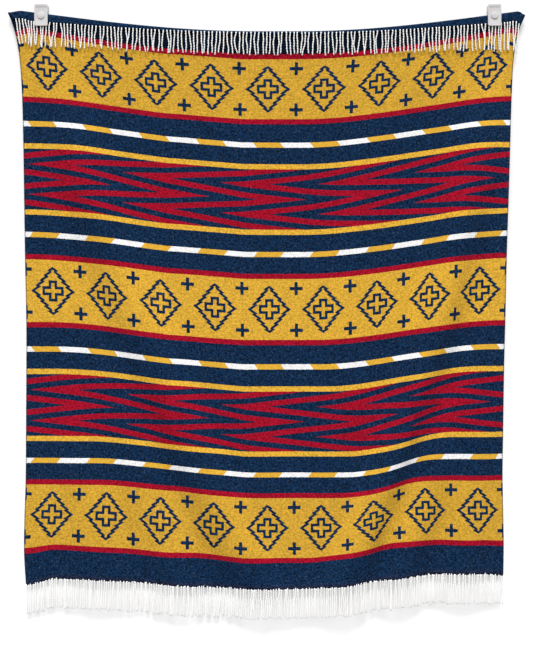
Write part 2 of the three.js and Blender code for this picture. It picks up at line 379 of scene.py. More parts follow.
class WoolColours(PropertyGroup):
    """Colours of the wool yarns"""

    navy: colour_property("Navy", "Ground of the cloth", (0.0041, 0.0190, 0.0535))
    mustard: colour_property("Mustard", "Bands of diamonds", (0.548, 0.311, 0.0322))
    gold: colour_property("Gold", "Stripes and dashes", (0.660, 0.372, 0.0380))
    red: colour_property("Red", "Zigzags and stripes", (0.304, 0.0042, 0.0179))
    white: colour_property("White", "Pale dashes", (0.800, 0.790, 0.790))
    lint: colour_property("Lint", "Pale fibres in the navy ground", (0.075, 0.095, 0.145))
    hem: colour_property("Hem", "Row of stitches above the lower fringe", (0.0192, 0.0180, 0.0406))
    fringe: colour_property("Fringe", "Twisted yarn of the fringes", (0.885, 0.880, 0.872))


class FringeSizes(PropertyGroup):
    """Sizes of the twisted strands"""

    top_strands: IntProperty(
        name="Upper strands", description="Strands along the turned-over edge", default=140)
    bottom_strands: IntProperty(
        name="Lower strands", description="Strands along the bottom edge", default=228)
    top_length: length_property("Upper length", "Length of an upper strand in the middle", 0.064)
    bottom_length: length_property("Lower length", "Length of a lower strand", 0.086)
    ply_radius: length_property("Ply radius", "Radius of one of the two plies", 0.00125)
    twist_radius: length_property("Twist radius", "Distance of a ply from its strand's middle", 0.0010)
    twist_length: length_property("Twist length", "Length of one full turn of the plies", 0.016)


class ClipSizes(PropertyGroup):
    """Sizes of the moulded clips"""

    corner: length_property("Corner", "Radius of the corners", 0.005)
    edge: length_property("Edge", "Rounding of the edges", 0.0012)
    rim: length_property("Rim", "Width of the raised rim round the jaw", 0.0042)
    recess: length_property("Recess", "Depth of the face inside the rim", 0.0008)
    plastic: colour_property("Plastic", "Colour of the clips", (0.585, 0.572, 0.580))


class StageSettings(PropertyGroup):
    """Camera, light and backdrop"""

    camera_x: length_property("Camera across", "Place of the camera along the wall", -0.004)
    camera_z: length_property("Camera height", "Height of the camera", -0.924)
    camera_distance: length_property("Camera distance", "Distance of the camera from the cloth", 3.6)
    view_height: length_property("View height", "Height of the picture at the cloth", 1.938)
    sun: FloatProperty(
        name="Sun", description="Strength of the light from above the camera", default=3.3)
    sun_height: FloatProperty(
        name="Sun height", description="Height of the sun above the horizon",
        default=math.radians(60), subtype="ANGLE")
    sun_angle: FloatProperty(
        name="Sun softness", description="How wide the sun looks", default=math.radians(26),
        subtype="ANGLE")
    ambient: FloatProperty(
        name="Ambient light", description="Brightness of the light from all round", default=0.66)
    overhead: FloatProperty(
        name="Overhead light", description="How much of the light from all round comes from above",
        default=0.7, min=0, max=1)
    wall: colour_property("Wall", "Paint of the wall", (0.75, 0.75, 0.75))
    wall_glow: FloatProperty(
        name="Wall glow", description="Light that the wall adds of its own", default=0.31)
    floor: colour_property("Floor", "Paint of the floor", (0.42, 0.42, 0.42))


def smooth(share):
    """A soft step from 0 to 1."""
    share = np.clip(share, 0, 1)
    return share * share * (3 - 2 * share)


def level(name, down):
    """Smooth curve through one column of the level table."""
    places = LEVELS[:, 0]
    values = LEVELS[:, LEVEL_COLUMNS.index(name)]
    last = len(places) - 1
    row = np.clip(np.searchsorted(places, down) - 1, 0, last - 1)

    def slope(index):
        before = np.maximum(index - 1, 0)
        after = np.minimum(index + 1, last)
        return (values[after] - values[before]) / (places[after] - places[before])

    span = places[row + 1] - places[row]
    t = (down - places[row]) / span
    ends = values[row] * (1 + 2 * t) * (1 - t) ** 2 + values[row + 1] * (3 - 2 * t) * t ** 2
    leaving = slope(row) * span * t * (1 - t) ** 2
    arriving = slope(row + 1) * span * t ** 2 * (1 - t)
    return ends + leaving - arriving


def fold_height(across, down, length):
    """How far the folds stand forward of the hanging layer."""
    t = down / length
    grown = smooth((down - FOLDS_START) / (FOLDS_FULL - FOLDS_START))
    lower = smooth(2 * t - 1)
    height = 0
    for at_top, at_middle, at_bottom, reach, middle_height, bottom_height in FOLDS:
        crest = (1 - t) * (1 - 2 * t) * at_top
        crest = crest + 4 * t * (1 - t) * at_middle + t * (2 * t - 1) * at_bottom
        off = np.minimum(np.abs(across - crest) / reach, 1)
        tall = middle_height + lower * (bottom_height - middle_height)
        height = height + grown * tall * np.cos(off * math.pi / 2) ** 2
    return height


def seen_width(across, down, width, length):
    """Width that the cloth takes up from its left edge, seen from the front."""
    step = (across + width / 2) / WIDTH_STEPS
    seen = 0
    before = fold_height(-width / 2, down, length)
    for index in range(WIDTH_STEPS):
        after = fold_height(-width / 2 + (index + 1) * step, down, length)
        seen = seen + np.sqrt(np.maximum(step ** 2 - (after - before) ** 2, 0))
        before = after
    return seen


def near_side(across, width, reach):
    """A soft step that is 0 further in and 1 at the nearer side edge of the cloth."""
    return smooth((np.abs(across) - (width / 2 - reach)) / reach)


def for_side(across, sizes):
    """The left or the right one of two sizes."""
    return np.where(across < 0, *sizes)


def flap_depth(across, width):
    """How deep the flap is that is turned over to the front."""
    out = across / (width / 2)
    cut = for_side(across, FLAP_CUT) * near_side(across, width, FLAP_CUT_REACH)
    return FLAP_AT_MIDDLE + (FLAP_AT_CORNERS - FLAP_AT_MIDDLE) * out ** 2 - cut


def hanging_points(across, down, width, length):
    """Points of the hanging layer's middle surface, in millimetres."""
    left = level("left_edge", down) - LEFT_FLARE[0] * np.exp(-down / LEFT_FLARE[1])
    right = level("right_edge", down) + RIGHT_FLARE[0] * np.exp(-down / RIGHT_FLARE[1])
    share = seen_width(across, down, width, length) / seen_width(width / 2, down, width, length)
    near_top = 1 - smooth(down / COLUMN_SPREAD_ENDS)
    moved = COLUMN_SHIFT + (COLUMN_SHIFT_AT_TOP - COLUMN_SHIFT) * near_top
    spread = COLUMN_SPREAD * near_top
    shift = moved * np.sin(math.pi * share) - spread * np.sin(2 * math.pi * share)
    x = left + (right - left) * share + shift

    def side(name, way):
        reach = level(name + "_reach", down)
        start = way * level(name + "_middle", down) - reach
        return level(name + "_rise", down) * smooth((way * x - start) / (2 * reach))

    droop = for_side(across, DROOP) * near_side(across, width, for_side(across, DROOP_REACH))
    lift = (flap_depth(across, width) - droop) * (1 - smooth(down / FLAP_LIFT_ENDS))
    low = smooth((down - CORNER_DROP_FROM) / (length - CORNER_DROP_FROM))
    inside = np.abs(x) - for_side(x, CORNER_DROP_OUT)
    drop = for_side(x, CORNER_DROP) * low * smooth(inside / for_side(x, CORNER_DROP_REACH))
    z = level("height", down) + side("left", -1) + side("right", 1) + lift - drop
    return np.stack([x, HANG_Y - fold_height(across, down, length), z], axis=-1)


def cloth_points(across, down, width, length):
    """Points of the whole cloth's middle surface: the flap, the turn over its top, and what hangs."""
    flap = flap_depth(across, width)
    points = hanging_points(across, np.maximum(down, flap + FOLD_LENGTH), width, length)
    turned = down < flap + FOLD_LENGTH
    angle = np.maximum(down - flap, 0) / FOLD_RADIUS
    hanging = np.maximum(flap - down, 0)
    tuck = for_side(across, TUCK) * near_side(across, width, TUCK_REACH) * hanging / flap
    points[..., 0] -= np.sign(across) * tuck
    points[..., 1] -= np.where(turned, FOLD_RADIUS * (1 + np.cos(angle)), 0)
    points[..., 2] += np.where(turned, FOLD_RADIUS * np.sin(angle) - hanging, 0)
    return points


def grid_quads(rows, columns):
    """Faces of a grid of points, row by row."""
    index = np.arange(rows * columns).reshape(rows, columns)
    corners = (index[:-1, :-1], index[:-1, 1:], index[1:, 1:], index[1:, :-1])
    return np.stack(corners, axis=-1).reshape(-1, 4)


def mesh_piece(name, points, quads, map_name, map_points):
    """A smooth object of four-sided faces, with one UV map."""
    mesh = bpy.data.meshes.new(name)
    mesh.from_pydata(points.tolist(), [], quads.tolist())
    layer = mesh.uv_layers.new(name=map_name)
    layer.data.foreach_set("uv", map_points[quads.ravel()].astype(np.float32).ravel())
    piece = bpy.data.objects.new(name, mesh)
    bpy.context.scene.collection.objects.link(piece)
    mesh.shade_smooth()
    return piece


def take_up(piece, material, slot, *nodes):
    """Gives a piece its finish and its body, and hides the solids that it stands for."""
    piece.data.materials.clear()
    piece.data.materials.append(material)
    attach(piece, BODY)
    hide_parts(*nodes)


def activate(piece):
    """Selects one piece alone."""
    bpy.ops.object.select_all(action="DESELECT")
    piece.select_set(True)
    bpy.context.view_layer.objects.active = piece


def apply_modifier(piece, kind, **settings):
    """Adds a modifier to a piece and applies it."""
    activate(piece)
    modifier = piece.modifiers.new(kind.title(), kind)
    for name, value in settings.items():
        setattr(modifier, name, value)
    bpy.ops.object.modifier_apply(modifier=modifier.name)


class Signal:
    """A shader socket that takes part in Python expressions by adding Math nodes

    The smaller of two values is written with &, and the larger with |.
    """

    def __init__(self, finish, socket):
        self.finish = finish
        self.socket = socket

    def math(self, operation, *values):
        return self.finish.node("ShaderNodeMath", {"operation": operation}, dict(enumerate(values)))

    def __add__(self, other):
        return self.math("ADD", self, other)

    __radd__ = __add__

    def __sub__(self, other):
        return self.math("SUBTRACT", self, other)

    def __rsub__(self, other):
        return self.math("SUBTRACT", other, self)

    def __mul__(self, other):
        return self.math("MULTIPLY", self, other)

    __rmul__ = __mul__

    def __truediv__(self, other):
        return self.math("DIVIDE", self, other)

    def __mod__(self, other):
        return self.math("FLOORED_MODULO", self, other)

    def __gt__(self, other):
        return self.math("GREATER_THAN", self, other)

    def __lt__(self, other):
        return self.math("LESS_THAN", self, other)

    def __and__(self, other):
        return self.math("MINIMUM", self, other)

    def __or__(self, other):
        return self.math("MAXIMUM", self, other)

    def __abs__(self):
        return self.math("ABSOLUTE", self)

    def wave(self, period):
        """A sine wave of this period."""
        return self.math("SINE", self * (2 * math.pi / period))

    def between(self, low, high):
        """1 from low to high, and 0 elsewhere."""
        return (self > low) & (self < high)


class Finish:
    """A material or a world while its nodes are laid out."""

    def __init__(self, owner):
        self.owner = owner
        owner.use_nodes = True
        self.tree = owner.node_tree
        self.tree.nodes.clear()

    def node(self, kind, settings, sockets, output=0):
        """Adds a node, sets it up, fills its sockets and gives one of its outputs."""
        node = self.tree.nodes.new(kind)
        for name, value in settings.items():
            setattr(node, name, value)
        for name, value in sockets.items():
            socket = node.inputs[name]
            if isinstance(value, Signal):
                self.tree.links.new(value.socket, socket)
            elif socket.type == "RGBA":
                socket.default_value = (*value, 1)
            else:
                socket.default_value = value
        return Signal(self, node.outputs[output])

    def flat_map(self, name):
        """The two coordinates of one of the piece's UV maps."""
        place = self.node("ShaderNodeUVMap", {"uv_map": name}, {})
        split = self.node("ShaderNodeSeparateXYZ", {}, {0: place})
        return split, Signal(self, split.socket.node.outputs[1])

    def place(self):
        """A point's place in the piece."""
        return self.node("ShaderNodeTexCoord", {}, {}, output="Object")

    def vector(self, x, y, z):
        """A vector of three numbers."""
        return self.node("ShaderNodeCombineXYZ", {}, {0: x, 1: y, 2: z})

    def noise(self, place, scale, detail=2.0):
        """Noise between about -0.5 and 0.5."""
        sockets = {"Vector": place, "Scale": scale, "Detail": detail}
        return self.node("ShaderNodeTexNoise", {"noise_dimensions": "3D"}, sockets) - 0.5

    def mix(self, share, first, second, blend="MIX"):
        """A colour between two colours."""
        settings = {"data_type": "RGBA", "blend_type": blend}
        return self.node("ShaderNodeMix", settings, {0: share, 6: first, 7: second}, output=2)

    def brightened(self, colour, gain):
        """A colour multiplied by a number."""
        sockets = {0: colour, "Scale": gain}
        return self.node("ShaderNodeVectorMath", {"operation": "SCALE"}, sockets)

    def bump(self, height, strength, distance):
        """A normal that is tilted by a height."""
        sockets = {"Height": height, "Strength": strength, "Distance": distance}
        return self.node("ShaderNodeBump", {}, sockets)

    def ended(self, shader, kind="ShaderNodeOutputMaterial"):
        """Ends the nodes with a shader, and gives the material or the world."""
        output = self.tree.nodes.new(kind)
        self.tree.links.new(shader.socket, output.inputs["Surface"])
        return self.owner

    def principled(self, sockets):
        """Ends the material with a Principled shader."""
        return self.ended(self.node("ShaderNodeBsdfPrincipled", {}, sockets))


def cross_mask(x, y, half_width, half_height, half_arm):
    """A cross with straight arms, about the origin."""
    lying = (x < half_width) & (y < half_arm)
    standing = (x < half_arm) & (y < half_height)
    return lying | standing


def diamond_marks(across, from_middle, pitch):
    """Toothed diamonds with a cross in each and small crosses between them."""
    out = abs((across + pitch / 2) % pitch - pitch / 2)
    up = abs(from_middle)
    phase = ((up - TOOTH_FIRST) / TOOTH_PITCH | -1.0) % 1.0
    tooth = phase / TOOTH_TURN & (1 - phase) / (1 - TOOTH_TURN)
    outer = DIAMOND_HALF_WIDTH - DIAMOND_SLOPE * up - TOOTH_STEP * tooth
    inner = outer - DIAMOND_LINE | (DIAMOND_TIP - up) * DIAMOND_TIP_SLOPE
    outline = (out < outer) & (out > inner) & (up < DIAMOND_HALF_HEIGHT)
    wide, tall, arm = INNER_CROSS
    inside = [size - INNER_CROSS_LINE for size in INNER_CROSS]
    ring = cross_mask(out, up, wide, tall, arm) - cross_mask(out, up, *inside)
    between = abs(across % pitch - pitch / 2)
    small = cross_mask(between, abs(up - SMALL_CROSS_FROM_MIDDLE), *SMALL_CROSS)
    return outline | ring | small


def dash_gold(across, from_middle, lean):
    """The gold share of a dashed stripe with slanted ends."""
    phase = ((across - lean * from_middle) / DASH_PERIOD + DASH_GOLD / 2) % 1.0
    return phase < DASH_GOLD


def zigzag_red(across, below_start):
    """The red share of the zigzag band, which points left a quarter and three quarters down."""
    share = below_start / BAND * 2 % 1.0
    swing = abs(share - 0.5) * 2
    phase = (across - ZIGZAG_REACH * swing) / ZIGZAG_PERIOD % 1.0
    return phase > 0.5


class Weave:
    """Where the yarns of the woven bands show, as masks over the flat cloth."""

    def __init__(self, thread, pick, width):
        below = pick - TOP_BORDER
        self.thread = thread
        self.row = below % REPEAT
        self.woven = below.between(0.0, WOVEN_LENGTH)
        self.border = below < 0.0
        # The middle band of diamonds, where painted light brightens the mustard
        self.painted_light_band = below.between(REPEAT, REPEAT + DIAMONDS_END)
        self.diamonds = self.band(DIAMONDS_START, BAND)
        self.marks = diamond_marks(thread, self.row - (DIAMONDS_START + BAND / 2), width / DIAMONDS)
        edges = self.band(0.0) | self.band(DIAMONDS_END)
        self.reds = edges | self.band(ZIGZAG_AT, BAND) & zigzag_red(thread, self.row - ZIGZAG_AT)
        self.golds = self.band(UPPER_GOLD_AT) | self.band(LOWER_GOLD_AT)
        self.dashes = self.band(UPPER_DASHES_AT) | self.band(LOWER_DASHES_AT)
        self.bright = (self.diamonds & (1 - self.marks)) | self.reds | self.golds | self.dashes

    def band(self, at, height=STRIPE):
        """A band that starts this far down each repeat."""
        return self.row.between(at, at + height) & self.woven


def wool_grain(finish, across, down):
    """Noise of the wool: fuzz, streaks along the weft, flecks, lint and clouds."""
    along, over = STREAK_SCALE
    fuzz = finish.noise(finish.vector(across, down, 0.0), FUZZ_SCALE)
    streak = finish.noise(finish.vector(across * along, down * over, 0.0), 1.0)
    fleck = finish.noise(finish.vector(across, down, FLECK_LAYER), FLECK_SCALE)
    lint = finish.noise(finish.vector(across, down, LINT_LAYER), LINT_SCALE, detail=1.0)
    lint = (lint - LINT_FROM | 0.0) * LINT_GAIN
    cloud = finish.noise(finish.vector(across, down, CLOUD_LAYER), CLOUD_SCALE)
    return fuzz, streak, fleck, lint, cloud


def woven_colour(finish, weave, colours):
    """Colour of the yarn that shows in each band."""
    # Painted light: the middle band's mustard is brightened, as if more light fell on it
    mustard = finish.brightened(colours.mustard, 1 + weave.painted_light_band * MIDDLE_BAND_PAINTED_LIGHT)
    colour = finish.mix(weave.diamonds, colours.navy, mustard)
    colour = finish.mix(weave.diamonds & weave.marks, colour, colours.navy)
    colour = finish.mix(weave.reds, colour, colours.red)
    colour = finish.mix(weave.golds, colour, colours.gold)
    for at, lean in ((UPPER_DASHES_AT, DASH_LEAN), (LOWER_DASHES_AT, -DASH_LEAN)):
        gold = dash_gold(weave.thread, weave.row - (at + STRIPE / 2), lean)
        dash = finish.mix(gold, colours.white, colours.gold)
        colour = finish.mix(weave.band(at), colour, dash)
    return colour


def heather_gain(weave, fleck, streak, cloud, weft):
    """How much brighter or darker than its yarn each fibre is."""
    depth = HEATHER_NAVY + weave.bright * (HEATHER_BRIGHT - HEATHER_NAVY)
    depth = depth + weave.reds * (HEATHER_RED - HEATHER_BRIGHT)
    depth = depth + weave.dashes * (HEATHER_PALE - HEATHER_BRIGHT)
    ribs = weft * (weave.golds | weave.dashes) * RIB_TONE
    return 1 + fleck * depth + streak * STREAK_TONE + cloud * CLOUD_TONE + ribs | HEATHER_DARKEST


def painted_border_shade(weave, across, down, width):
    """Painted shade: how much darker the border is painted below the flap, behind the upper fringe,
    where the flap and its strands shade it.
    """
    out = across / (width / 2)
    flap_end = FOLD_LENGTH + FLAP_AT_MIDDLE + out * out * (FLAP_AT_CORNERS - FLAP_AT_MIDDLE)
    behind = ((down - flap_end) / BORDER_PAINTED_SHADE_FADE | 0.0) & weave.border
    return behind * BORDER_PAINTED_SHADE


def wool_finish(sizes, colours):
    """Felted wool with woven bands, charted over the flat cloth."""
    finish = Finish(bpy.data.materials.new("Woven wool"))
    width, length = sizes.width / MM, sizes.length / MM
    u, v = finish.flat_map(FLAT_MAP)
    across = (u - 0.5) * width
    down = (1 - v) * length
    fuzz, streak, fleck, lint, cloud = wool_grain(finish, across, down)

    aside = (across - RAISED_AT) / RAISED_REACH
    raised = (1 - aside * aside | 0.0) * RAISED_HEIGHT
    pick = down + raised + fuzz * PICK_FUZZ + streak * PICK_STREAK
    weave = Weave(across + fuzz * THREAD_FUZZ, pick, width)
    colour = woven_colour(finish, weave, colours)

    to_side = width / 2 - abs(across)
    stitches = (down.wave(SELVEDGE_STITCH) * SELVEDGE_COVER_CHANGE + SELVEDGE_COVER) & 1.0
    selvedge = (to_side < SELVEDGE_WIDTH + fuzz * SELVEDGE_FUZZ) & stitches
    colour = finish.mix(selvedge, colour, colours.navy)
    colour = finish.mix(lint * (1 - weave.bright), colour, colours.lint)
    to_end = length - down
    hem_top = HEM_HEIGHT + fuzz * HEM_FUZZ + across.wave(HEM_STITCH) * HEM_STITCH_HEIGHT
    hem = ((hem_top - to_end) / HEM_SOFTNESS | 0.0) & HEM_COVER
    colour = finish.mix(hem, colour, colours.hem)

    weft = down.wave(WEFT_PITCH)
    heather = heather_gain(weave, fleck, streak, cloud, weft)
    # Painted shade: the border below the flap is darkened behind the upper fringe
    painted_shade = painted_border_shade(weave, across, down, width)
    nap = fleck + streak * NAP_STREAK + weft * NAP_WEFT
    return finish.principled({
        "Base Color": finish.brightened(colour, heather * (1 - painted_shade)),
        "Roughness": 0.92 + fleck * 0.1,
        "Normal": finish.bump(nap, NAP_STRENGTH, NAP_DEPTH),
        "Specular IOR Level": 0.03,
        "Sheen Weight": 0.015,
        "Sheen Roughness": 0.6,
    })


def yarn_finish(colours):
    """Off-white twisted yarn, each strand a little different."""
    finish = Finish(bpy.data.materials.new("Fringe yarn"))
    tone, along = finish.flat_map(STRAND_MAP)
    fibre = finish.noise(finish.place(), FIBRE_SCALE)
    gain = YARN_TONE + tone * YARN_TONE_CHANGE + fibre * FIBRE_TONE - (1 - along) * TIP_TONE
    return finish.principled({
        "Base Color": finish.brightened(colours.fringe, gain),
        "Roughness": 0.9 + fibre * 0.1,
        "Normal": finish.bump(fibre, strength=0.3, distance=0.0006),
        "Specular IOR Level": 0.15,
        "Sheen Weight": 0.1,
        "Sheen Roughness": 0.6,
    })


def plastic_finish(sizes):
    """Moulded white plastic with a faint grain."""
    finish = Finish(bpy.data.materials.new("Moulded plastic"))
    grain = finish.noise(finish.place(), PLASTIC_GRAIN_SCALE, detail=3.0)
    cloud = finish.noise(finish.place(), PLASTIC_CLOUD_SCALE)
    gain = 1 + cloud * PLASTIC_CLOUD_TONE + grain * PLASTIC_GRAIN_TONE
    return finish.principled({
        "Base Color": finish.brightened(sizes.plastic, gain),
        "Roughness": 0.38 + grain * 0.15,
        "Normal": finish.bump(grain, strength=0.12, distance=0.0003),
        "Subsurface Weight": 0.25,
        "Subsurface Scale": 0.004,
        "Specular IOR Level": 0.4,
    })


class BLANKET_OT_weave_cloth(Operator):
    """Weave the cloth and hang it over its turned top edge"""

    bl_idname = "blanket.weave_cloth"
    bl_label = "Weave cloth"

    def execute(self, context):
        sizes = context.scene.blanket_cloth
        width, length = sizes.width / MM, sizes.length / MM
        across = np.linspace(-width / 2, width / 2, COLUMNS + 1)
        flap = flap_depth(across, width)
        rows = [flap * row / FLAP_ROWS for row in range(FLAP_ROWS)]
        rows += [flap + FOLD_LENGTH * row / TURN_ROWS for row in range(TURN_ROWS)]
        start = flap + FOLD_LENGTH
        rows += [start + (length - start) * row / HANG_ROWS for row in range(HANG_ROWS + 1)]
        down = np.array(rows)
        across = np.broadcast_to(across, down.shape)
        points = cloth_points(across, down, width, length) * MM
        flat = np.stack([across / width + 0.5, 1 - down / length], axis=-1)
        quads = grid_quads(ROWS + 1, COLUMNS + 1)[:, ::-1]
        cloth = mesh_piece("wool_blanket", points.reshape(-1, 3), quads, FLAT_MAP, flat.reshape(-1, 2))
        apply_modifier(cloth, "SOLIDIFY", thickness=sizes.thickness, offset=0.0)
        finish = wool_finish(sizes, context.scene.blanket_wool)
        take_up(cloth, finish, "wool_cloth", "blanket")
        return {"FINISHED"}


def hung_strands(end, down, count, long, cloth, chance):
    """Roots along an end of the cloth, and how the strand at each of them hangs."""
    width, length = cloth.width / MM, cloth.length / MM
    half = width / 2
    uneven = chance.uniform(-1, 1, count)
    across = ((np.arange(count) + 0.5) / count - 0.5) * width
    across = np.clip(across + uneven * end.gather, -half, half)
    rows = np.full(count, down)
    roots = cloth_points(across, rows, width, length)
    beside = cloth_points(np.clip(across + BESIDE, -half, half), rows, width, length)
    directions = (beside - roots) * (1, 1, 0)
    directions = directions / np.linalg.norm(directions, axis=1, keepdims=True)
    out = np.abs(across) / half
    lift = chance.uniform(*end.lifts, count) * (1 - smooth(out / end.lift_ends))
    roots = roots + np.stack([np.zeros(count), np.full(count, -ROOTS_FORWARD), lift], axis=-1)
    lengths = long + chance.uniform(-LENGTH_CHANGE, LENGTH_CHANGE, count) + lift * MM
    lean = for_side(across, end.lean) * near_side(across, width, for_side(across, end.lean_reach))
    return Strands(
        roots=roots * MM,
        directions=directions,
        lengths=lengths + for_side(across, end.extra) * out ** 3 * MM,
        leans=-np.sign(across) * lean * MM,
        spacing=uneven * (end.gather - SETTLED_GATHER) * MM,
    )


def strand_wave(t, waves, start):
    """Waves along a strand that are 0 at its root."""
    return np.sin(2 * math.pi * waves * t + start) - np.sin(start)


def ply_faces(index):
    """Walls between the rings of each ply, and the caps at its two ends."""
    beside = np.roll(index, -1, axis=2)
    walls = np.stack([index[:, :-1], index[:, 1:], beside[:, 1:], beside[:, :-1]], axis=-1)
    tops, tips = index[:, 0], index[:, -1]
    caps = [tops[:, (0, 1, 2, 3)], tops[:, (0, 3, 4, 5)], tips[:, (3, 2, 1, 0)], tips[:, (5, 4, 3, 0)]]
    return np.concatenate([walls.reshape(-1, 4), *caps])


def strand_mesh(end, strands, sizes, chance):
    """Twisted strands that hang from their roots, as one object."""
    count = len(strands.roots)
    t = np.append(np.linspace(0, TIP_START, STRAND_RINGS), 1)[None, :]
    turns = 2 * math.pi * chance.random((count, 4))
    swing, ripple, nod, turn = (turns[:, column:column + 1] for column in range(4))
    settled = smooth((t - FULL_FROM) / FULL_OVER)
    sideways = end.sway * chance.normal(size=(count, 1)) * strand_wave(t, SWAY_WAVES, swing)
    sideways = sideways + RIPPLE_SHARE * end.sway * strand_wave(t, RIPPLE_WAVES, ripple)
    sideways = sideways + end.tip_sway * chance.normal(size=(count, 1)) * t ** TIP_SWAY_POWER
    sideways = sideways + strands.leans[:, None] * t - strands.spacing[:, None] * settled
    forward = FORWARD_SHARE * end.sway * strand_wave(t, FORWARD_WAVES, nod)
    flatness = ROOT_FLATNESS + (1 - ROOT_FLATNESS) * smooth((t - ROUND_FROM) / ROUND_OVER)
    full = end.fullness[0] + (end.fullness[1] - end.fullness[0]) * settled
    taper = np.where(t < 1, full, TIP_WIDTH)[..., None]
    drop = strands.lengths[:, None] * t
    across = strands.directions
    out = np.stack([-across[:, 1], across[:, 0], np.zeros(count)], axis=-1)
    around = np.linspace(0, 2 * math.pi, STRAND_SIDES, endpoint=False)[None, None, :]
    plies = []
    for ply in range(PLIES):
        twist = 2 * math.pi * (drop / sizes.twist_length + ply / PLIES) + turn
        middle = sideways + sizes.twist_radius * full * np.cos(twist)
        depth = (forward + sizes.twist_radius * np.sin(twist)) * flatness
        x = middle[..., None] + sizes.ply_radius * taper * np.cos(around)
        y = depth[..., None] + sizes.ply_radius * taper * flatness[..., None] * np.sin(around)
        points = strands.roots[:, None, None, :] + x[..., None] * across[:, None, None, :]
        points = points + y[..., None] * out[:, None, None, :]
        points[..., 2] -= drop[..., None]
        plies.append(points)
    points = np.stack(plies, axis=1).reshape(-1, STRAND_RINGS + 1, STRAND_SIDES, 3)
    index = np.arange(points[..., 0].size).reshape(points.shape[:3])
    tone = np.repeat(chance.random(count), PLIES * (STRAND_RINGS + 1) * STRAND_SIDES)
    along = np.broadcast_to(1 - t[..., None], points.shape[:3]).ravel()
    flat = np.stack([tone, along], axis=-1)
    return mesh_piece(end.piece, points.reshape(-1, 3), ply_faces(index), STRAND_MAP, flat)


class BLANKET_OT_twist_fringes(Operator):
    """Twist the strands of both fringes and hang them from the ends of the cloth"""

    bl_idname = "blanket.twist_fringes"
    bl_label = "Twist fringes"

    def execute(self, context):
        cloth = context.scene.blanket_cloth
        sizes = context.scene.blanket_fringe
        finish = yarn_finish(context.scene.blanket_wool)
        chance = np.random.default_rng(SEED)
        fringes = (
            (UPPER_END, 0.0, sizes.top_strands, sizes.top_length),
            (LOWER_END, cloth.length / MM, sizes.bottom_strands, sizes.bottom_length),
        )
        for end, down, count, long in fringes:
            strands = hung_strands(end, down, count, long, cloth, chance)
            fringe = strand_mesh(end, strands, sizes, chance)
            take_up(fringe, finish, "fringe_yarn", end.node)
        return {"FINISHED"}


def select_parts(piece, kind, test):
    """Goes to edit mode with only the edges or faces selected that pass a test."""
    activate(piece)
    bpy.ops.object.mode_set(mode="EDIT")
    bpy.ops.mesh.select_mode(type=kind)
    bpy.ops.mesh.select_all(action="DESELECT")
    bpy.ops.object.mode_set(mode="OBJECT")
    mesh = piece.data
    for part in mesh.polygons if kind == "FACE" else mesh.edges:
        part.select = test(mesh, part)
    bpy.ops.object.mode_set(mode="EDIT")


def runs_along_y(mesh, edge):
    """Whether an edge runs from front to back."""
    first, last = (mesh.vertices[index].co for index in edge.vertices)
    return abs((last - first).normalized().y) > STRAIGHT


def faces_front(mesh, face):
    """Whether a face looks to the front."""
    return face.normal.y < -STRAIGHT


def faces_back(mesh, face):
    """Whether a face looks to the wall."""
    return face.normal.y > STRAIGHT


def moulded_box(name, low, high, corner):
    """A box between two corners, with round corners seen from the front."""
    size = high - low
    bpy.ops.object.select_all(action="DESELECT")
    bpy.ops.mesh.primitive_cube_add(size=1, location=(low + high) / 2, scale=size)
    piece = bpy.context.active_object
    piece.name = piece.data.name = name
    bpy.ops.object.transform_apply()
    select_parts(piece, "EDGE", runs_along_y)
    bpy.ops.mesh.bevel(offset=corner, segments=CORNER_SEGMENTS, affect="EDGES")
    bpy.ops.object.mode_set(mode="OBJECT")
    return piece


def inset_face(piece, test, thickness, depth):
    """Insets the faces that pass a test and moves them in or out."""
    select_parts(piece, "FACE", test)
    bpy.ops.mesh.inset(thickness=thickness, depth=depth)
    bpy.ops.object.mode_set(mode="OBJECT")


def eased(piece, edge):
    """Rounds a moulding's edges and shades it smooth."""
    apply_modifier(piece, "BEVEL", width=edge, segments=EDGE_SEGMENTS, limit_method="ANGLE")
    activate(piece)
    bpy.ops.object.shade_smooth_by_angle(angle=SMOOTH_ANGLE)


def joined(pieces):
    """Joins pieces into the first of them."""
    activate(pieces[0])
    for piece in pieces:
        piece.select_set(True)
    bpy.ops.object.join()
    return pieces[0]


def disc_piece(side, jaw_front, sizes):
    """The round disc on a jaw's face."""
    low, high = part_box(f"{side}_clip_disc")
    middle = (low + high) / 2
    depth = jaw_front + sizes.recess + DISC_SUNK - low.y
    bpy.ops.object.select_all(action="DESELECT")
    bpy.ops.mesh.primitive_cylinder_add(
        vertices=DISC_SIDES, radius=(high.x - low.x) / 2, depth=depth,
        location=(middle.x, low.y + depth / 2, middle.z), rotation=(math.pi / 2, 0, 0))
    disc = bpy.context.active_object
    bpy.ops.object.transform_apply()
    eased(disc, sizes.edge)
    return disc


def grip_ribs(low, high):
    """A row of small ribs along the top of a jaw with these corners, the first one and its copies."""
    x = (low.x + high.x) / 2 - (GRIP_RIBS - 1) / 2 * RIB_PITCH
    rib_low = Vector((x - RIB_HALF_WIDTH, low.y - RIB_PROUD, high.z - RIB_BOTTOM))
    rib_high = Vector((x + RIB_HALF_WIDTH, low.y + RIB_SUNK, high.z - RIB_TOP))
    ribs = [moulded_box("rib", rib_low, rib_high, RIB_CORNER)]
    eased(ribs[0], RIB_EDGE)
    for index in range(1, GRIP_RIBS):
        activate(ribs[0])
        bpy.ops.object.duplicate()
        bpy.ops.transform.translate(value=(index * RIB_PITCH, 0, 0))
        bpy.ops.object.transform_apply()
        ribs.append(bpy.context.active_object)
    return ribs


def jaw_piece(name, side, sizes):
    """The front jaw: a rim round a shallow face, a round disc and a row of grip ribs."""
    low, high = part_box(f"{side}_clip_jaw")
    jaw = moulded_box(name, low, high, sizes.corner)
    inset_face(jaw, faces_front, sizes.rim, -sizes.recess)
    eased(jaw, sizes.edge)
    return joined([jaw, disc_piece(side, low.y, sizes), *grip_ribs(low, high)])


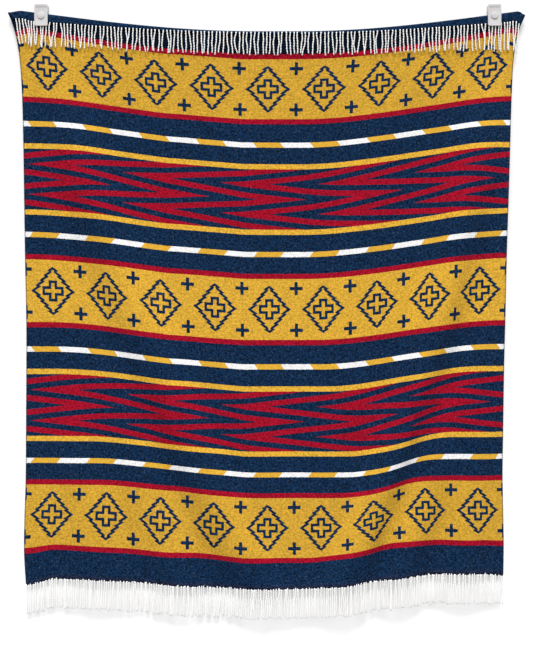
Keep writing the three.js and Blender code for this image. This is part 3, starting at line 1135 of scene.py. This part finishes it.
def plate_piece(name, side, sizes):
    """The wall plate, with a shallow recess in its back and a fainter one in its front."""
    plate = moulded_box(name, *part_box(f"{side}_clip_plate"), sizes.corner)
    inset_face(plate, faces_back, *PLATE_BACK_INSET)
    inset_face(plate, faces_front, *PLATE_FRONT_INSET)
    eased(plate, sizes.edge)
    return plate


def block_piece(name, side):
    """The block above the fold, with a shallow recess in its front."""
    block = moulded_box(name, *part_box(f"{side}_clip_block"), BLOCK_CORNER)
    inset_face(block, faces_front, *BLOCK_INSET)
    eased(block, BLOCK_EDGE)
    return block


class BLANKET_OT_mould_clips(Operator):
    """Mould the two wall clips"""

    bl_idname = "blanket.mould_clips"
    bl_label = "Mould clips"

    def execute(self, context):
        sizes = context.scene.blanket_clip
        finish = plastic_finish(sizes)
        for side in ("left", "right"):
            plate = plate_piece(f"{side}_plate", side, sizes)
            take_up(plate, finish, "clip_plastic", f"{side}_clip_plate")
            block = block_piece(f"{side}_block", side)
            take_up(block, finish, "clip_plastic", f"{side}_clip_block")
            jaw = jaw_piece(f"{side}_jaw", side, sizes)
            take_up(jaw, finish, "clip_plastic", f"{side}_clip_jaw", f"{side}_clip_disc")
        return {"FINISHED"}


def stage_plane(name, size, location, rotation, material):
    """A flat part of the stage."""
    bpy.ops.object.select_all(action="DESELECT")
    bpy.ops.mesh.primitive_plane_add(size=size, location=location, rotation=rotation)
    plane = bpy.context.active_object
    plane.name = plane.data.name = name
    plane.data.materials.append(material)


def backdrop_finish(name, colour, strength):
    """Pale paint that may glow of its own. Only the camera sees it, and only from its front."""
    finish = Finish(bpy.data.materials.new(name))
    paint = finish.node("ShaderNodeBsdfDiffuse", {}, {"Color": colour, "Roughness": 0.5})
    glow = finish.node("ShaderNodeEmission", {}, {"Color": (1, 1, 1), "Strength": strength})
    wall = finish.node("ShaderNodeAddShader", {}, {0: paint, 1: glow})
    clear = finish.node("ShaderNodeBsdfTransparent", {}, {})
    seen = finish.node("ShaderNodeLightPath", {}, {}, output="Is Camera Ray")
    behind = finish.node("ShaderNodeNewGeometry", {}, {}, output="Backfacing")
    shown = {0: seen & (1 - behind), 1: clear, 2: wall}
    return finish.ended(finish.node("ShaderNodeMixShader", {}, shown))


def studio_world(settings):
    """White light from all round, brighter from above than from below."""
    finish = Finish(bpy.data.worlds.new("Studio"))
    direction = finish.node("ShaderNodeTexCoord", {}, {}, output="Generated")
    height = finish.node("ShaderNodeSeparateXYZ", {}, {0: direction}, output="Z")
    strength = settings.ambient + height * (settings.ambient * settings.overhead)
    light = finish.node("ShaderNodeBackground", {}, {"Color": (1, 1, 1), "Strength": strength})
    return finish.ended(light, "ShaderNodeOutputWorld")


class BLANKET_OT_set_stage(Operator):
    """Set the camera, the soft lights, the pale wall and the floor"""

    bl_idname = "blanket.set_stage"
    bl_label = "Set stage"

    def execute(self, context):
        scene = context.scene
        settings = scene.blanket_stage
        data = bpy.data.cameras.new("Camera")
        data.sensor_width = SENSOR_WIDTH_MM
        data.lens = data.sensor_width * settings.camera_distance / settings.view_height
        camera = bpy.data.objects.new("Camera", data)
        camera.location = (settings.camera_x, CLOTH_FRONT - settings.camera_distance, settings.camera_z)
        camera.rotation_euler = (math.pi / 2, 0, 0)
        scene.collection.objects.link(camera)
        scene.camera = camera

        sun = bpy.data.lights.new("Sun", "SUN")
        sun.energy = settings.sun
        sun.angle = settings.sun_angle
        light = bpy.data.objects.new("Sun", sun)
        light.rotation_euler = (math.pi / 2 - settings.sun_height, 0, 0)
        scene.collection.objects.link(light)
        scene.world = studio_world(settings)
        scene.view_settings.view_transform = "Standard"

        wall = backdrop_finish("Wall paint", settings.wall, settings.wall_glow)
        stage_plane("wall", WALL_SIZE, (0, WALL_BEHIND, WALL_HEIGHT), (math.pi / 2, 0, 0), wall)
        floor = backdrop_finish("Floor paint", settings.floor, 0.0)
        stage_plane("floor", FLOOR_SIZE, (0, 0, FLOOR_HEIGHT), (0, 0, 0), floor)
        return {"FINISHED"}


class BLANKET_PT_sidebar(Panel):
    """Sizes, colours and making steps of the blanket"""

    bl_idname = "BLANKET_PT_sidebar"
    bl_label = "Hanging blanket"
    bl_space_type = "VIEW_3D"
    bl_region_type = "UI"
    bl_category = "Blanket"

    def draw(self, context):
        for group in GROUPS:
            settings = getattr(context.scene, group)
            box = self.layout.box()
            for name in settings.bl_rna.properties.keys():
                if name not in ("rna_type", "name"):
                    box.prop(settings, name)
        for operator in OPERATORS:
            self.layout.operator(operator.bl_idname)


GROUPS = {
    "blanket_cloth": ClothSizes,
    "blanket_wool": WoolColours,
    "blanket_fringe": FringeSizes,
    "blanket_clip": ClipSizes,
    "blanket_stage": StageSettings,
}
OPERATORS = (
    BLANKET_OT_set_stage,
    BLANKET_OT_weave_cloth,
    BLANKET_OT_mould_clips,
    BLANKET_OT_twist_fringes,
)


def register():
    for name, group in GROUPS.items():
        bpy.utils.register_class(group)
        setattr(bpy.types.Scene, name, PointerProperty(type=group))
    for operator in OPERATORS:
        bpy.utils.register_class(operator)
    bpy.utils.register_class(BLANKET_PT_sidebar)


def unregister():
    bpy.utils.unregister_class(BLANKET_PT_sidebar)
    for operator in reversed(OPERATORS):
        bpy.utils.unregister_class(operator)
    for name, group in reversed(GROUPS.items()):
        delattr(bpy.types.Scene, name)
        bpy.utils.unregister_class(group)


def main():
    register()
    bpy.ops.blanket.set_stage()
    bpy.ops.blanket.weave_cloth()
    bpy.ops.blanket.mould_clips()
    bpy.ops.blanket.twist_fringes()


if __name__ == "__main__":
    main()
